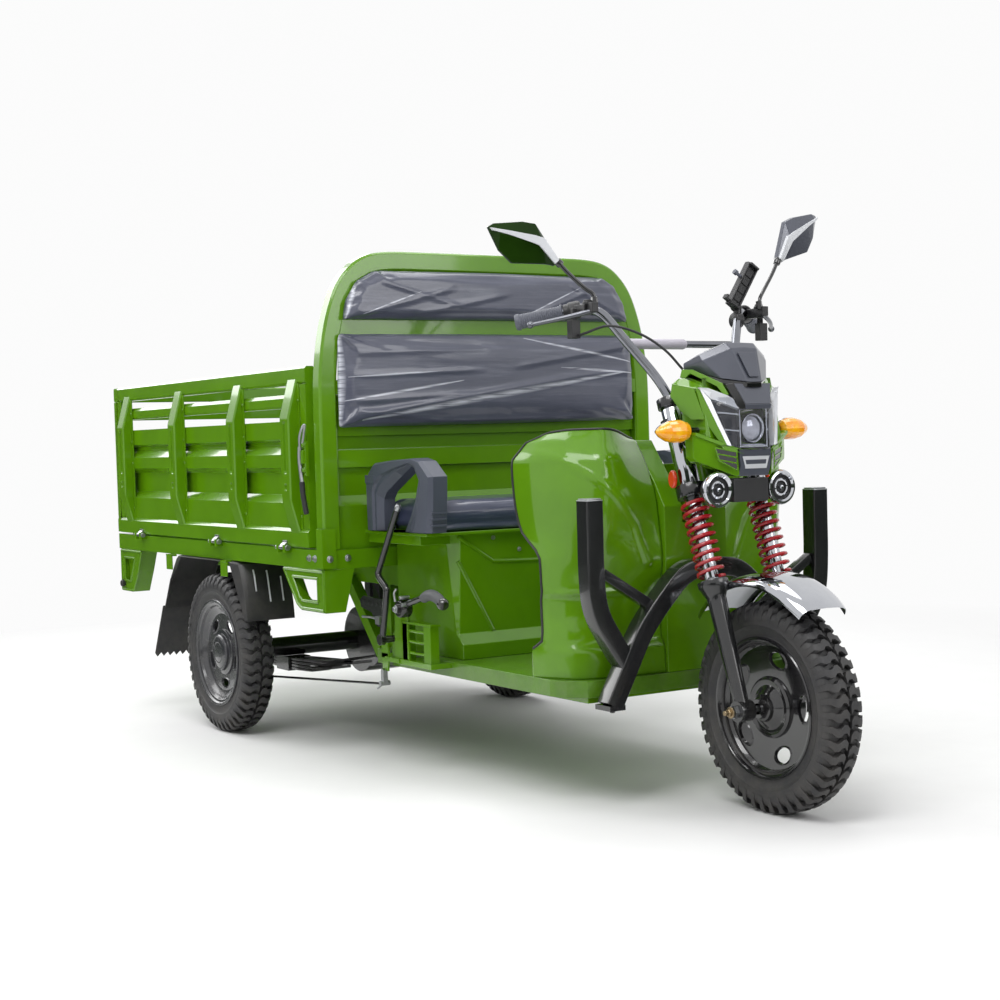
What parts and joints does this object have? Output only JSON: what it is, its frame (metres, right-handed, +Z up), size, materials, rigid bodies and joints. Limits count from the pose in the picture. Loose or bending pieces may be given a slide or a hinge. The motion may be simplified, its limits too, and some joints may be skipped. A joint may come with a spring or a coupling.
{
  "type": "electric cargo tricycle",
  "caption": "Electric cargo tricycle with a drop-side bed behind a bench seat, a padded backrest hoop and one sprung, steered front wheel under a handlebar.",
  "frame": {"origin": "middle of the length and width, on the ground under the tyres", "axes": "+X forward, +Y the rider's left, +Z up"},
  "size_m": [3.072, 1.174, 1.4385],
  "materials": {
    "green_paint": "gloss green enamel",
    "black_paint": "black enamel",
    "chrome": "bright plating",
    "zinc": "zinc plated steel",
    "red_paint": "red powder coat",
    "tyre_rubber": "black tyre rubber",
    "wheel_paint": "dark grey wheel enamel",
    "black_plastic": "moulded black plastic",
    "grey_plastic": "slate grey moulded plastic",
    "vinyl": "padded dark blue-grey vinyl",
    "grip_rubber": "soft black rubber",
    "lamp_clear": "lamp unit behind a clear cover",
    "lamp_amber": "amber lens",
    "lamp_red": "red lens",
    "battery_case": "battery case"
  },
  "bodies": {
    "frame": {"chassis": "green_paint", "steering_head": "green_paint", "bed_base": "green_paint", "front_panel": "green_paint", "backrest_frame": "green_paint", "back_pads": "vinyl", "seat_box": "green_paint", "battery_pack": "battery_case", "seat_pad": "vinyl", "seat_handles": "grey_plastic", "floor_pan": "green_paint", "leg_shield": "green_paint", "column_cover": "green_paint", "bumper": "black_paint", "rear_axle": "black_paint", "leaf_springs": "black_paint", "mudguards": "black_plastic", "bed_brackets": "green_paint", "tail_lamps": "lamp_red", "hand_levers": "black_paint"},
    "steering": {"fork_clamps": "black_paint", "fork_tubes": "chrome", "fork_springs": "red_paint", "fork_legs": "black_paint", "front_axle": "zinc", "front_fender": "chrome", "handlebar": "chrome", "grips": "grip_rubber", "mirrors": "black_plastic", "lamp_cowl": "green_paint", "headlamp": "lamp_clear", "cluster": "black_plastic", "turn_signals": "lamp_amber", "horns": "black_plastic", "phone_holder": "black_plastic", "brake_cable": "grip_rubber"},
    "front_wheel": {"front_tyre": "tyre_rubber", "front_rim": "wheel_paint"},
    "wheel_right": {"tyre_right": "tyre_rubber", "rim_right": "wheel_paint"},
    "wheel_left": {"tyre_left": "tyre_rubber", "rim_left": "wheel_paint"},
    "side_gate_right": {"gate_right": "green_paint"},
    "side_gate_left": {"gate_left": "green_paint"},
    "tail": {"tailgate": "green_paint"}
  },
  "joints": [
    {"name": "steering", "type": "hinge", "parent": "frame", "child": "steering", "pos_m": [1.0401, 0, 0.8355], "axis": [-0.3256, 0, 0.9455], "range_deg": [-30, 30]},
    {"name": "front_wheel_spin", "type": "hinge", "parent": "steering", "child": "front_wheel", "pos_m": [1.291, 0, 0.245], "axis": [0, 1, 0], "continuous": true},
    {"name": "wheel_right_spin", "type": "hinge", "parent": "frame", "child": "wheel_right", "pos_m": [-0.672, -0.515, 0.245], "axis": [0, 1, 0], "continuous": true},
    {"name": "wheel_left_spin", "type": "hinge", "parent": "frame", "child": "wheel_left", "pos_m": [-0.672, 0.515, 0.245], "axis": [0, 1, 0], "continuous": true},
    {"name": "gate_right_fold", "type": "hinge", "parent": "frame", "child": "side_gate_right", "pos_m": [-0.7, -0.571, 0.5915], "axis": [1, 0, 0], "range_deg": [0, 150]},
    {"name": "gate_left_fold", "type": "hinge", "parent": "frame", "child": "side_gate_left", "pos_m": [-0.7, 0.571, 0.5915], "axis": [-1, 0, 0], "range_deg": [0, 150]},
    {"name": "tailgate_fold", "type": "hinge", "parent": "frame", "child": "tail", "pos_m": [-1.528, 0, 0.5915], "axis": [0, -1, 0], "range_deg": [0, 150]}
  ]
}
